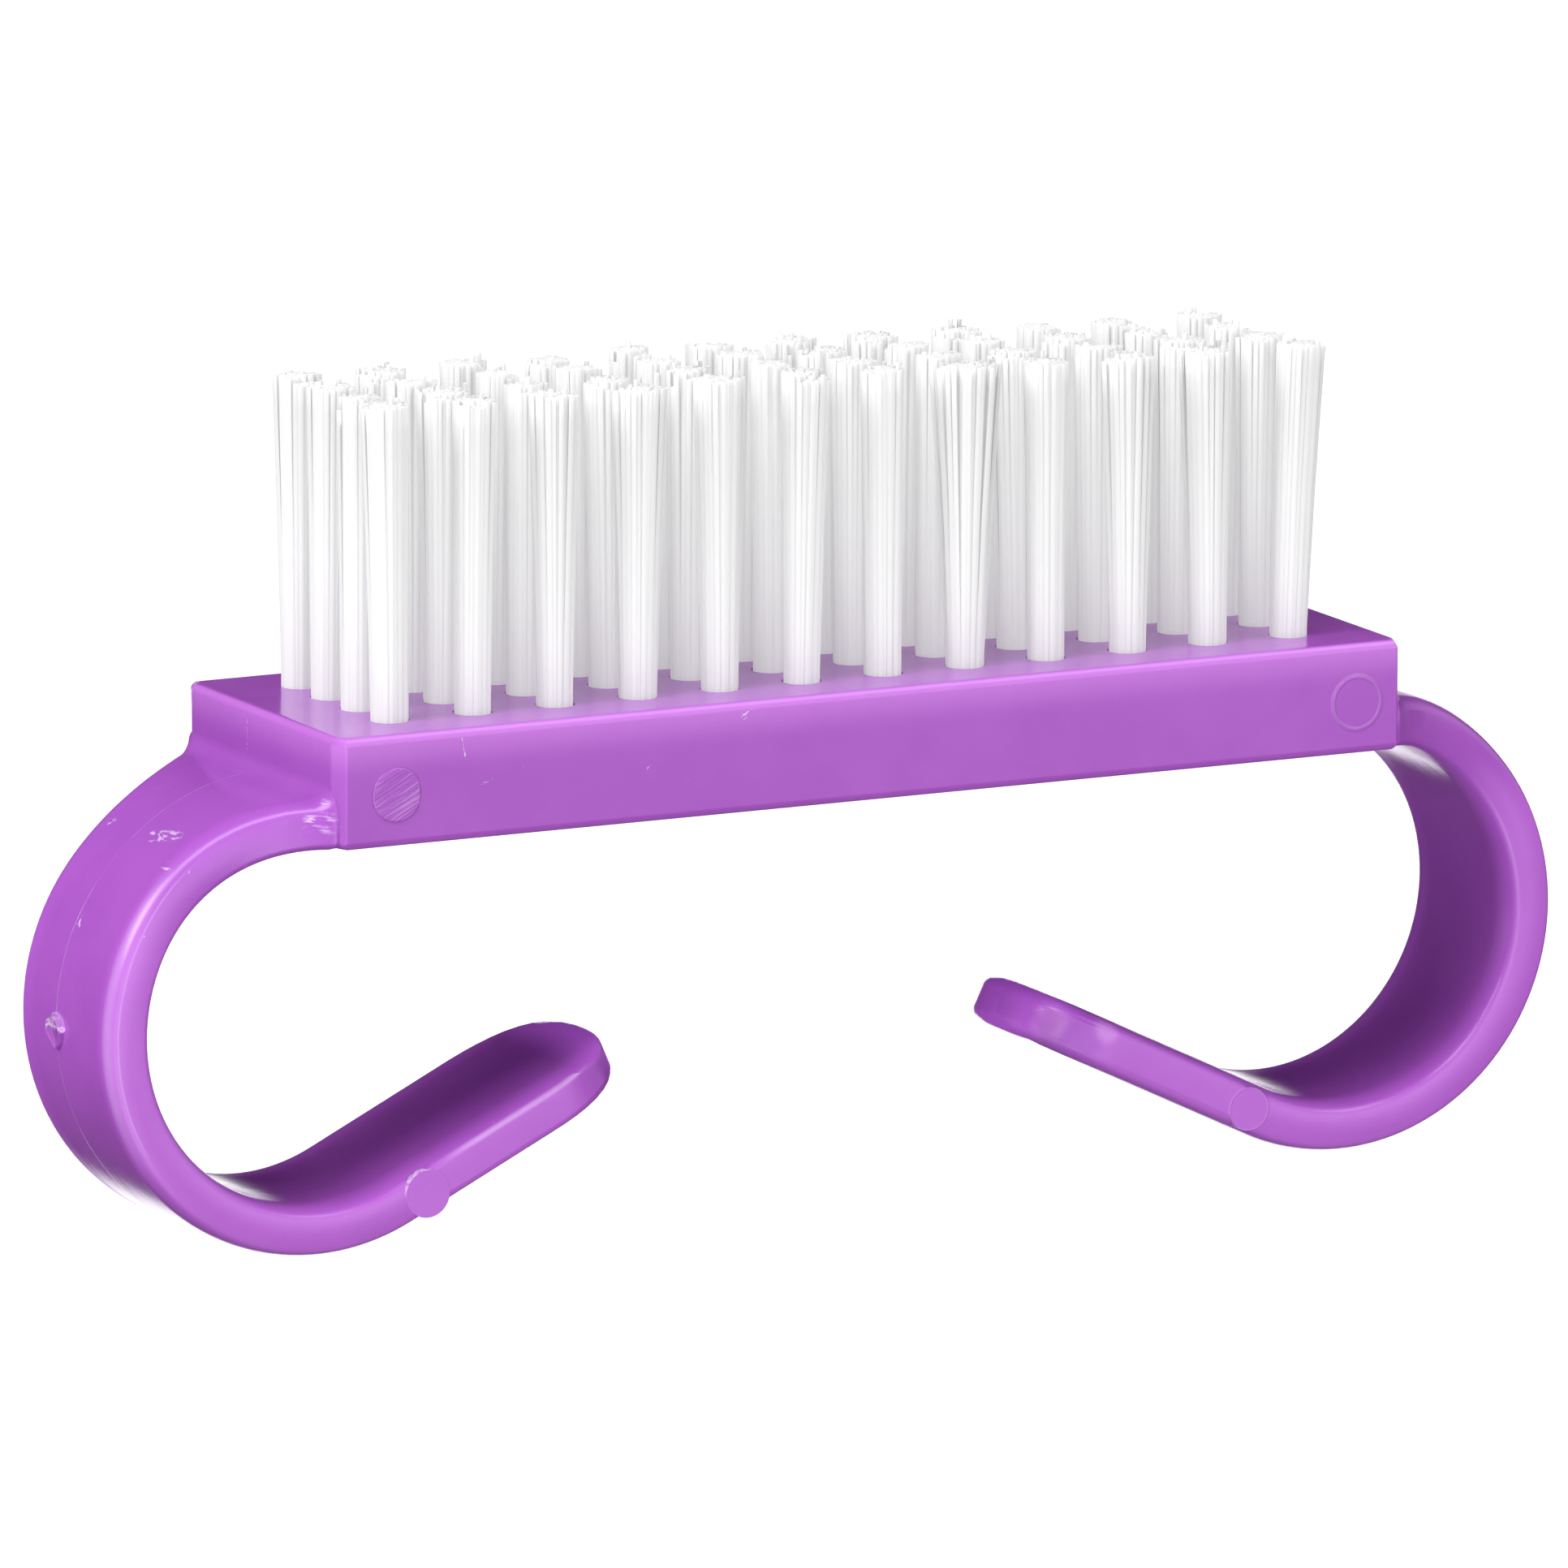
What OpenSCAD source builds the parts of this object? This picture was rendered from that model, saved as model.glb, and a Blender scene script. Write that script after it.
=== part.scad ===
// Nail brush: a moulded block with a finger hook at each end and a grid of nylon tufts.
// Millimetres. +X runs along the brush and +Z points up through the bristles.
// The brush stands on its two hooks, and the origin is under its middle on that surface.

/* [Tuft grid] */
// Number of tufts along the brush
tuft_columns = 12; // [8:1:12]
// Number of tufts across the brush
tuft_rows = 4; // [2:1:4]
// Distance from one tuft to the next along the brush
tuft_pitch_x = 3.65; // [3.3:0.05:4.2]
// Distance from one tuft to the next across the brush
tuft_pitch_y = 2.66; // [2.5:0.02:3]
// Diameter of each tuft hole
hole_d = 1.6; // [1.4:0.05:1.8]
// Depth of each tuft hole
hole_depth = 3.2; // [2.8:0.1:3.6]

/* [Block] */
// Height of the block that holds the tufts
block_h = 4.5; // [4.2:0.1:6]
// Distance from the last tuft's centre to the block's end
end_margin = 3.68; // [3.2:0.02:5]
// Distance from the outer tuft's centre to the block's side
side_margin = 2.96; // [2.4:0.02:4]
// Radius of the block's four upright corners
block_corner_r = 0.6; // [0.4:0.05:1]
// Radius of the block's top and bottom edges
block_edge_r = 0.35; // [0.2:0.05:0.4]

/* [Finger hooks] */
// Inner radius of each hook's ring
ring_r = 7.4; // [6.5:0.1:9]
// Thickness of the hook's band
band_t = 2.05; // [1.6:0.05:2.6]
// Width of the hook's band
band_w = 7.75; // [6:0.05:9]
// Radius of the band's long edges
band_edge_r = 0.6; // [0.4:0.05:0.75]
// How far the ring's centre lies inside the block's end
ring_inset = 0.82; // [0.4:0.02:1.6]
// How far the inside of the ring starts below the block's underside
ring_drop = 0.1; // [0.05:0.01:0.3]
// How far the flare at the hook's root runs out past the block's end
flare_out = 6.4; // [5:0.1:7]
// Step from the block's side to the side of the flare where it leaves the block
flare_step = 0.33; // [0.1:0.01:0.6]
// How far the flare's ends run in behind the band's sides
flare_fade = 0.15; // [0.1:0.01:0.3]
// Slope of the straight tongue that ends the hook
tongue_slope = 25.8; // [20:0.2:32]
// Length of the tongue past the end of the ring
tongue_l = 11.3; // [8:0.1:13]
// How much slimmer the tongue is than the ring, on each side
tongue_step = 0.04; // [0.03:0.01:0.1]
// Radius of the tongue's two corners
tip_corner_r = 2.9; // [2:0.1:2.95]

/* [Bristles] */
// Height of the bristles above the block
bristle_h = 12.4; // [8:0.1:16]
// Width of one strand
strand_w = 0.3; // [0.2:0.01:0.3]
// How far the outer strands lean out by their tips
strand_splay = 0.42; // [0.1:0.02:0.5]
// How much the strands differ in height
tip_scatter = 0.15; // [0:0.01:0.3]

/* [Wire anchors] */
// Thickness of the flat wire
anchor_t = 0.3; // [0.2:0.05:0.4]
// Height of the flat wire
anchor_h = 1.3; // [0.8:0.05:1.5]
// How far each end bites into the wall of its hole
anchor_bite = 0.25; // [0.15:0.01:0.3]
// Thickness of the folded bristles under the wire
fold_t = 0.7; // [0.4:0.05:0.8]

/* [Moulding marks] */
// Diameter of the round ejector marks on the block's front
block_mark_d = 2.2; // [1.4:0.1:2.6]
// Distance from the block's end to the centre of its ejector mark
block_mark_inset = 2.3; // [2:0.05:3]
// Diameter of the round ejector marks on the hooks
hook_mark_d = 1.7; // [1:0.05:1.8]
// Distance along the tongue to the centre of its ejector mark
hook_mark_along = 0.76; // [0.2:0.02:3]
// How far below the tongue's middle its ejector mark lies
hook_mark_drop = 0.15; // [0:0.01:0.15]
// How far the ejector marks stand proud
mark_proud = 0.06; // [0.03:0.01:0.12]
// Width of the gate scar on the left hook
gate_w = 0.8; // [0.5:0.05:1.2]
// Length of the gate scar
gate_l = 1.3; // [0.8:0.05:1.6]
// How far the gate scar stands proud at its middle
gate_proud = 0.12; // [0.05:0.01:0.2]

/* [Hidden] */
$fn = 48;
// Gap round the plug of a tuft, and round an anchor in its slits
seat_gap = 0.02;
// How far a cut runs past what it cuts, and the tongue back into the ring
overrun = 0.5;
// How far the outer strands stay inside the edge of their plug
strand_inset = 0.04;
// How deep the strands are rooted in their plug
strand_root = 0.3;
// Sides of a plug and of a strand
plug_sides = 12;
strand_sides = 4;
// Strands in the middle of a tuft and round its edge
middle_strands = 3;
outer_strands = 7;
// Place of the middle strands, as a share of the outer ones' radius
middle_ring_share = 0.42;
// Turn from one tuft or strand to the next, so that no two look alike
scatter_turn = 137.5;
// Round corners of the gate scar, as a share of its width
gate_corner_share = 0.4;

// Block
block_l = (tuft_columns - 1) * tuft_pitch_x + 2 * end_margin;
block_w = (tuft_rows - 1) * tuft_pitch_y + 2 * side_margin;
ring_outer_r = ring_r + band_t;
ring_mid_r = ring_r + band_t / 2;
block_bottom = ring_outer_r + ring_r + ring_drop;
block_top = block_bottom + block_h;

// Hooks
ring_x = block_l / 2 - ring_inset;
ring_z = ring_outer_r;
ring_end_turn = -90 - tongue_slope;
root_w = block_w - 2 * flare_step;
flare_end_w = band_w - 2 * flare_fade;
flare_rise = (root_w - flare_end_w) / 2;
flare_r = (flare_out * flare_out + flare_rise * flare_rise) / (2 * flare_rise);
flare_end_x = block_l / 2 + flare_out;

// Tufts and anchors
hole_bottom = block_top - hole_depth;
plug_r = hole_d / 2 - seat_gap;
plug_flat_r = plug_r * cos(180 / plug_sides);
outer_ring_r = plug_flat_r - strand_w / 2 - strand_inset;
strands = outer_strands + middle_strands;
anchor_l = hole_d + 2 * anchor_bite;
anchor_bottom = hole_bottom + fold_t;

function tuft_name(row, column) =
    str("tuft_r", row, column < 10 ? "_c0" : "_c", column);
function tuft_x(column) = (column - (tuft_columns + 1) / 2) * tuft_pitch_x;
function tuft_y(row) = (row - (tuft_rows + 1) / 2) * tuft_pitch_y;

// A flat rectangle with round corners, centred
module round_rectangle(length, width, radius) {
    square([length - 2 * radius, width], center = true);
    square([length, width - 2 * radius], center = true);
    for (x = [-1, 1], y = [-1, 1])
        translate([x * (length / 2 - radius), y * (width / 2 - radius)])
            circle(r = radius);
}

// What lies on +X of the Y axis in such a rectangle, from zero to its reach
module half_round_rectangle(reach, width, radius) {
    translate([0, -width / 2])
        square([reach - radius, width]);
    translate([0, radius - width / 2])
        square([reach, width - 2 * radius]);
    for (y = [-1, 1])
        translate([reach - radius, y * (width / 2 - radius)])
            circle(r = radius);
}

// A slab centred on the origin, with round upright corners and round edges
module round_slab(length, width, height, corner_r, edge_r) {
    rotate([90, 0, 90])
        linear_extrude(length - 2 * corner_r, center = true)
            round_rectangle(width, height, edge_r);
    rotate([90, 0, 0])
        linear_extrude(width - 2 * corner_r, center = true)
            round_rectangle(length, height, edge_r);
    for (x = [-1, 1], y = [-1, 1])
        translate([x * (length / 2 - corner_r), y * (width / 2 - corner_r), 0])
            rotate_extrude()
                half_round_rectangle(corner_r, height, edge_r);
}

// A flat bar from X = 0 that ends at X = length with round corners and round edges
module round_tipped_bar(length, width, height, corner_r, edge_r) {
    rotate([90, 0, 90])
        linear_extrude(length - corner_r)
            round_rectangle(width, height, edge_r);
    rotate([90, 0, 0])
        linear_extrude(width - 2 * corner_r, center = true)
            half_round_rectangle(length, height, edge_r);
    for (y = [-1, 1])
        translate([length - corner_r, y * (width / 2 - corner_r), 0])
            rotate_extrude()
                half_round_rectangle(corner_r, height, edge_r);
}

// Plan of the flare at the right hook's root: it narrows along two round hollows
module flare_plan() {
    difference() {
        translate([ring_x, -root_w / 2])
            square([flare_end_x - ring_x, root_w]);
        for (y = [-1, 1])
            translate([flare_end_x, y * (flare_end_w / 2 + flare_r)])
                circle(r = flare_r);
    }
}

// A stretch of the ring, from one turn about the ring's axis to another
module ring_stretch(width, from_turn, to_turn) {
    rotate([90, 0, 0])
        rotate_extrude(angle = to_turn - from_turn, start = from_turn)
            translate([ring_mid_r, 0])
                round_rectangle(band_t, width, band_edge_r);
}

// Carries what is drawn along +X to the end of the ring, so that it runs on as the tongue
module at_tongue() {
    rotate([0, -ring_end_turn, 0])
        translate([ring_mid_r, 0, 0])
            rotate([0, 90, 0])
                children();
}

// The right hook, drawn about its ring's axis: the flare, the ring and the tongue
module hook() {
    translate([ring_x, 0, ring_z]) {
        ring_stretch(band_w, ring_end_turn, 90);
        at_tongue() {
            translate([-overrun, 0, 0])
                round_tipped_bar(
                    tongue_l + overrun,
                    band_w - 2 * tongue_step,
                    band_t - 2 * tongue_step,
                    tip_corner_r,
                    band_edge_r
                );
            translate([hook_mark_along, -band_w / 2 - mark_proud, hook_mark_drop])
                rotate([-90, 0, 0])
                    cylinder(d = hook_mark_d, h = mark_proud + band_edge_r);
        }
    }
    intersection() {
        translate([ring_x, 0, ring_z])
            ring_stretch(root_w, 0, 90);
        translate([0, 0, ring_z])
            linear_extrude(ring_outer_r + overrun)
                flare_plan();
    }
}

// The round mark at each end of the block's front
module block_marks() {
    for (x = [-1, 1])
        translate([x * (block_l / 2 - block_mark_inset), 0, block_bottom + block_h / 2])
            translate([0, -block_w / 2 - mark_proud, 0])
                rotate([-90, 0, 0])
                    cylinder(d = block_mark_d, h = mark_proud + block_edge_r);
}

// The gate scar on the outside of the left hook
module gate_scar() {
    translate([-ring_x - ring_outer_r - gate_proud, 0, ring_z])
        rotate([90, 0, 90])
            linear_extrude(gate_proud + band_edge_r)
                round_rectangle(gate_w, gate_l, gate_w * gate_corner_share);
}

// A flat wire, or with a gap the room that it needs
module anchor_wire(gap) {
    translate([0, 0, anchor_bottom + anchor_h / 2])
        cube([anchor_l + 2 * gap, anchor_t + 2 * gap, anchor_h + 2 * gap], center = true);
}

// One moulding: the block with its tuft holes and slits, and both hooks
module handle() {
    color([0.62, 0.32, 0.75])
        difference() {
            union() {
                translate([0, 0, block_bottom + block_h / 2])
                    round_slab(block_l, block_w, block_h, block_corner_r, block_edge_r);
                hook();
                mirror([1, 0, 0])
                    hook();
                block_marks();
                gate_scar();
            }
            for (row = [1 : tuft_rows], column = [1 : tuft_columns])
                translate([tuft_x(column), tuft_y(row), 0]) {
                    translate([0, 0, hole_bottom])
                        cylinder(d = hole_d, h = hole_depth + overrun);
                    anchor_wire(seat_gap);
                }
        }
}

// The wires that hold the tufts in their holes, all alike
module anchors() {
    color("silver")
        for (row = [1 : tuft_rows], column = [1 : tuft_columns])
            translate([tuft_x(column), tuft_y(row), 0])
                anchor_wire(0);
}

// One strand: it starts in the plug and leans out from the tuft's middle
module strand(turn, start_r, tall) {
    rotate([0, 0, turn])
        translate([start_r, 0, block_top - strand_root])
            rotate([0, atan(strand_splay * start_r / outer_ring_r / bristle_h), 0])
                cylinder(d = strand_w, h = tall + strand_root, $fn = strand_sides);
}

// Height of a strand: the numbers of the tuft and the strand spread the tips
function strand_h(tuft_number, strand_number) =
    bristle_h - tip_scatter * (1 + sin(scatter_turn * (tuft_number + strands * strand_number)));

// One tuft: the folded end as a plug with a window for its wire, and the strands on it
module tuft(row, column) {
    tuft_number = row + tuft_rows * column;
    turn = scatter_turn * tuft_number;
    color("white")
        translate([tuft_x(column), tuft_y(row), 0]) {
            difference() {
                translate([0, 0, hole_bottom])
                    cylinder(r = plug_r, h = hole_depth, $fn = plug_sides);
                anchor_wire(seat_gap);
            }
            for (i = [0 : outer_strands - 1])
                strand(turn + 360 * i / outer_strands, outer_ring_r, strand_h(tuft_number, i));
            for (i = [0 : middle_strands - 1])
                strand(
                    turn + 360 * i / middle_strands,
                    outer_ring_r * middle_ring_share,
                    strand_h(tuft_number, outer_strands + i)
                );
        }
}

handle();
anchors();
for (row = [1 : tuft_rows], column = [1 : tuft_columns])
    tuft(row, column);
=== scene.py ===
# %% [markdown]
# A nail brush with a finger hook at each end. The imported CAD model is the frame: it says how big
# the brush is and where each piece lies. This lesson models the moulding and the tufts as fuller
# pieces in the same place, and gives them their plastics, their light and their camera.

import math
import random

import bmesh
import bpy
from mathutils import Matrix, Vector


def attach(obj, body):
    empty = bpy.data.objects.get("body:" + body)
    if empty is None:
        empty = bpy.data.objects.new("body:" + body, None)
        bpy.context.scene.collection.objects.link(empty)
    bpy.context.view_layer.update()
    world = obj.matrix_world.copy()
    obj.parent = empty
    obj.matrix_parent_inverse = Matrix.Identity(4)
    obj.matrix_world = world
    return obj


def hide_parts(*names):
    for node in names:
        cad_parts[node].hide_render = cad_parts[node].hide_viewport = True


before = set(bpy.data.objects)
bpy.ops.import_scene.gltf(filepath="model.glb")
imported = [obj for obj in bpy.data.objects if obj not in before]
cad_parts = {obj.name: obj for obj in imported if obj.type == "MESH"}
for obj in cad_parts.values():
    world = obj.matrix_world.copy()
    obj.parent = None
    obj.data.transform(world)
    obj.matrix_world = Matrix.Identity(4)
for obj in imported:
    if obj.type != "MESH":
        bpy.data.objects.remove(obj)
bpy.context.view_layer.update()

# %% [markdown]
# The sizes are those of the CAD part, in metres. The block carries the tufts, a ring curls down from
# each of its ends, and a straight tongue ends each ring. The last two distances say how close to a
# place a point has to be to count as there, and the grid lists all tufts by row and column.

# %% Name the sizes
MM = 0.001
block_length = 47.51 * MM
block_width = 13.90 * MM
block_bottom = 16.95 * MM
block_top = 21.45 * MM
block_end = block_length / 2
block_middle_z = (block_bottom + block_top) / 2
front_y = -block_width / 2
ring_x = 22.935 * MM
ring_z = 9.45 * MM
ring_inner_r = 7.40 * MM
ring_outer_r = 9.45 * MM
middle_r = (ring_inner_r + ring_outer_r) / 2
band_thickness = ring_outer_r - ring_inner_r
band_width = 7.75 * MM
half_band = band_width / 2
tongue_slope = math.radians(25.8)
tongue_length = 11.3 * MM
columns = 12
rows = 4
pitch_x = 3.65 * MM
pitch_y = 2.66 * MM
hole_radius = 0.80 * MM
hole_bottom = block_top - 3.2 * MM
anchor_bottom = hole_bottom + 0.7 * MM
anchor_top = anchor_bottom + 1.3 * MM
wire_length = 2.1 * MM
wire_width = 0.3 * MM
near = 0.01 * MM
touching = 0.001 * MM
grid = [(row, column) for row in range(1, rows + 1) for column in range(1, columns + 1)]
print("Block ends at x =", round(block_end / MM, 3), "mm; the tongue is", tongue_length / MM, "mm long")

# %% [markdown]
# Most steps are the same few moves: let go of everything, open one piece in edit mode, and select
# vertices, edges or faces by where they are. A test gets each of them in turn.

# %% Helpers for editing by place


def clear_selection():
    """Leaves edit mode and selects nothing."""
    if bpy.context.mode != "OBJECT":
        bpy.ops.object.mode_set(mode="OBJECT")
    bpy.ops.object.select_all(action="DESELECT")


def take(piece):
    """Makes one piece the only selected and active one."""
    clear_selection()
    piece.select_set(True)
    bpy.context.view_layer.objects.active = piece


def open_piece(piece):
    """Opens a piece in edit mode with nothing selected."""
    take(piece)
    bpy.ops.object.mode_set(mode="EDIT")
    bpy.ops.mesh.select_all(action="DESELECT")


def select_all():
    """Selects everything in the open piece."""
    bpy.ops.mesh.select_all(action="SELECT")


def pick(kind, test):
    """Selects the vertices, edges or faces of the open piece that pass a test, and counts them."""
    bpy.ops.mesh.select_mode(type=kind)
    bpy.ops.mesh.select_all(action="DESELECT")
    mesh = bpy.context.edit_object.data
    shape = bmesh.from_edit_mesh(mesh)
    parts = {"VERT": shape.verts, "EDGE": shape.edges, "FACE": shape.faces}[kind]
    found = 0
    for part in parts:
        if test(part):
            part.select_set(True)
            found += 1
    shape.select_flush_mode()
    bmesh.update_edit_mesh(mesh)
    return found


def bevel(width, segments, kind="EDGES"):
    """Bevels the selected edges, or vertices."""
    bpy.ops.mesh.bevel(offset=width, segments=segments, affect=kind)


def move(*step):
    """Moves what is selected."""
    bpy.ops.transform.translate(value=step)


def stretch(factors, middle):
    """Stretches what is selected about a place."""
    bpy.ops.transform.resize(value=factors, center_override=middle)


def close_piece():
    """Merges doubles, turns all faces outwards and leaves edit mode."""
    select_all()
    bpy.ops.mesh.remove_doubles(threshold=0.5e-6)
    bpy.ops.mesh.normals_make_consistent(inside=False)
    clear_selection()


def settle(piece):
    """Puts a piece's place into its mesh, so that its object sits at the origin."""
    take(piece)
    bpy.ops.object.transform_apply(location=True, rotation=True, scale=True)
    clear_selection()


def apply_boolean(piece, tool, operation):
    """Cuts or joins a piece with a tool piece, and removes the tool."""
    take(piece)
    modifier = piece.modifiers.new("cut", "BOOLEAN")
    modifier.operation = operation
    modifier.solver = "EXACT"
    modifier.object = tool
    bpy.ops.object.modifier_apply(modifier=modifier.name)
    tool_mesh = tool.data
    bpy.data.objects.remove(tool)
    bpy.data.meshes.remove(tool_mesh)


def report(title, piece):
    """Prints how many faces a piece has, and how many edges without exactly two faces."""
    shape = bmesh.new()
    shape.from_mesh(piece.data)
    open_edges = sum(1 for edge in shape.edges if len(edge.link_faces) != 2)
    shape.free()
    print(title, len(piece.data.polygons), "faces, open edges:", open_edges)


# %% [markdown]
# New shapes start as a cube or a cylinder at its real size. A master's mesh can also be planted many
# times in a larger one, which is how 48 holes or 62 filaments come from one.

# %% Helpers for adding shapes


def add_cube(name, length, width, height, middle):
    """Adds a cube at its size and place."""
    clear_selection()
    bpy.ops.mesh.primitive_cube_add(size=1, location=middle)
    piece = bpy.context.active_object
    piece.name = name
    piece.scale = (length, width, height)
    settle(piece)
    return piece


def add_cylinder(name, corners, radius, length, middle, turned=(0, 0, 0)):
    """Adds a cylinder at its size and place."""
    clear_selection()
    bpy.ops.mesh.primitive_cylinder_add(
        vertices=corners, radius=radius, depth=length, location=middle, rotation=turned
    )
    piece = bpy.context.active_object
    piece.name = name
    settle(piece)
    return piece


def plant(shape, master, place):
    """Adds a copy of a master mesh to a shape and moves each of its points by a rule."""
    before = len(shape.verts)
    shape.from_mesh(master.data)
    shape.verts.ensure_lookup_table()
    for vertex in shape.verts[before:]:
        vertex.co = place(vertex.co)


def add_object(name, data):
    """Puts an object with this data into the scene."""
    piece = bpy.data.objects.new(name, data)
    bpy.context.scene.collection.objects.link(piece)
    return piece


def shifted(x, y):
    """The rule that moves a point by x and y."""
    return lambda point: Vector((point.x + x, point.y + y, point.z))


# %% [markdown]
# The block's upright edges are narrow slanted faces, wider on the end than on the front, so they are
# bevelled while the block is squeezed across. The rims of the top and the underside are rounded, and
# both borders of each slant are eased last, which draws two fine lines of light.

# %% Model the block
slant_on_front = 0.28 * MM
slant_on_end = 0.75 * MM
squeeze = slant_on_front / slant_on_end
slant_ease = 0.09 * MM
rim_radius = 0.34 * MM


def is_upright(edge):
    first, second = edge.verts
    return abs(first.co.z - second.co.z) > 1 * MM


def is_on_a_rim(edge):
    heights = [vertex.co.z for vertex in edge.verts]
    return max(heights) < block_bottom + near or min(heights) > block_top - near


block = add_cube("handle_shell", block_length, block_width, block_top - block_bottom, (0, 0, block_middle_z))
open_piece(block)
select_all()
stretch((1, squeeze, 1), (0, 0, 0))
pick("EDGE", is_upright)
bevel(slant_on_front, 1)
select_all()
stretch((1, 1 / squeeze, 1), (0, 0, 0))
pick("EDGE", is_on_a_rim)
bevel(rim_radius, 5)
pick("EDGE", is_upright)
bevel(slant_ease, 3)
close_piece()
report("Block:", block)

# %% [markdown]
# A hook is one band that is swept round a ring. The band's section has wide, low curves as its front
# corners, with a fine step where the outer one ends, and tighter ones at the back, which reach a
# little further out. A corner that is rounded while the section is stretched is a low curve when
# the stretch is undone.

# %% Model the section of the band
step_proud = 0.035 * MM
step_rise = 0.03 * MM
far_extra = 0.30 * MM
low_curves = {
    "front": {"side": -1, "outer": (1.00 * MM, 0.45 * MM), "inner": (1.50 * MM, 0.50 * MM)},
    "back": {"side": 1, "outer": (0.60 * MM, 0.30 * MM), "inner": (0.70 * MM, 0.30 * MM)},
}
front_outer_height = low_curves["front"]["outer"][1]
step_level = ring_z + ring_outer_r - front_outer_height
clear_selection()
bpy.ops.mesh.primitive_plane_add(
    size=1, location=(ring_x, 0, ring_z + middle_r), rotation=(0, math.pi / 2, 0)
)
hook = bpy.context.active_object
hook.name = "right_hook"
hook.scale = (band_thickness, band_width - 2 * step_proud, 1)
settle(hook)
open_piece(hook)


def round_corner(side, level, width, height):
    """Rounds one corner with a low curve: the section is stretched up from its level meanwhile."""
    taller = width / height
    outmost = half_band - step_proud - near
    select_all()
    stretch((1, 1, taller), (ring_x, 0, level))
    pick("VERT", lambda vertex: vertex.co.y * side > outmost and abs(vertex.co.z - level) < near)
    bevel(width, 7, "VERTICES")
    select_all()
    stretch((1, 1, 1 / taller), (ring_x, 0, level))


for curves in low_curves.values():
    round_corner(curves["side"], ring_z + ring_outer_r, *curves["outer"])
    round_corner(curves["side"], ring_z + ring_inner_r, *curves["inner"])
pick("VERT", lambda vertex: vertex.co.y < 0 and abs(vertex.co.z - step_level) < near)
bevel(step_rise, 1, "VERTICES")
pick("VERT", lambda vertex: vertex.co.y < 0 and vertex.co.z < step_level - near)
move(0, -step_proud, 0)
pick("VERT", lambda vertex: vertex.co.y > 0)
move(0, step_proud + far_extra, 0)
pick("EDGE", lambda edge: abs(edge.verts[0].co.y - edge.verts[1].co.y) > 2 * MM)
bpy.ops.mesh.subdivide(number_cuts=3)
print("Section of the band:", len(bmesh.from_edit_mesh(hook.data).verts), "corners")
clear_selection()

# %% [markdown]
# A spin carries the section round the ring: first in small steps beside the block, where a rounded
# inner corner will be needed, and then in even ones. After the ring it is extruded straight on as
# the tongue, in steps that get shorter towards the tip.

# %% Sweep the hook
tip_length = 4.4 * MM
tip_fullness = 2.35
fillet = 0.70 * MM
ring_start = math.asin(1)


def turn_at(distance):
    """The turn about the ring where its outer skin is this far past the block's end."""
    return math.acos((block_end - ring_x + distance) / ring_outer_r)


def spin_to(start, end, steps):
    """Spins the selected section about the ring's axis, clockwise as seen from the front."""
    bpy.ops.mesh.spin(steps=steps, angle=end - start, center=(ring_x, 0, ring_z), axis=(0, 1, 0))
    return end


open_piece(hook)
pick("FACE", lambda face: True)
turn = spin_to(ring_start, turn_at(0), 2)
for fraction in (0.06, 0.14, 0.25, 0.38, 0.52, 0.68, 0.84, 1.0):
    turn = spin_to(turn, turn_at(fraction * fillet), 1)
ring_finish = -math.pi / 2 - tongue_slope
turn = spin_to(turn, ring_finish, 78)
print("Hook after the spin:", len(bmesh.from_edit_mesh(hook.data).verts), "points")

tongue_direction = Vector((-math.cos(tongue_slope), 0, math.sin(tongue_slope)))
tongue_normal = Vector((math.sin(tongue_slope), 0, math.cos(tongue_slope)))


def grow(distance):
    """Extrudes the selected section along the tongue."""
    bpy.ops.mesh.extrude_region_move(TRANSFORM_OT_translate={"value": tongue_direction * distance})


def tip_reach(turn):
    """How far the tip's outline reaches at a turn from its side, as a share of its length."""
    side = math.cos(turn)
    front = math.sin(turn)
    return front * (side ** tip_fullness + front ** tip_fullness) ** (-1 / tip_fullness)


straight = tongue_length - tip_length
for part in range(4):
    grow(straight / 4)
tip_turns = [math.radians(degrees) for degrees in (8, 16, 24, 32, 40, 47, 54, 60, 66, 71, 76, 80, 84)]
gone = 0.0
for turn in tip_turns:
    reach = tip_reach(turn)
    grow((reach - gone) * tip_length)
    gone = reach
clear_selection()
report("Hook with its tongue:", hook)

# %% [markdown]
# The tongue's tip is round like a fingertip: its outline is between an ellipse and a rectangle. The
# low curves along the band's edges run on round this outline, and turn narrower and deeper on the
# way, so how far the skin sinks depends on the distance to it. That moves each point by a rule.

# %% Round the tongue's tip
tip_inner = (0.85 * MM, 0.60 * MM)
tip_outer = (0.75 * MM, 0.55 * MM)
back_fullness = 2.6
past_skin = 1.2 * MM


def low_curve(distance, width, height):
    """How far the skin has sunk at this distance from the edge of a low curve."""
    share = 1 - min(max(distance, 0.0), width) / width
    return height * (1 - math.sqrt(1 - share ** 2))


def between(first, last, share):
    """Both sizes of a low curve at a share of the way from one curve to another."""
    return [start + (end - start) * share for start, end in zip(first, last)]


def tip_half(share, fullness):
    """Half the width of the tip at this share of its length, as a share of the band's."""
    return (1 - share ** fullness) ** (1 / fullness)


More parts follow.
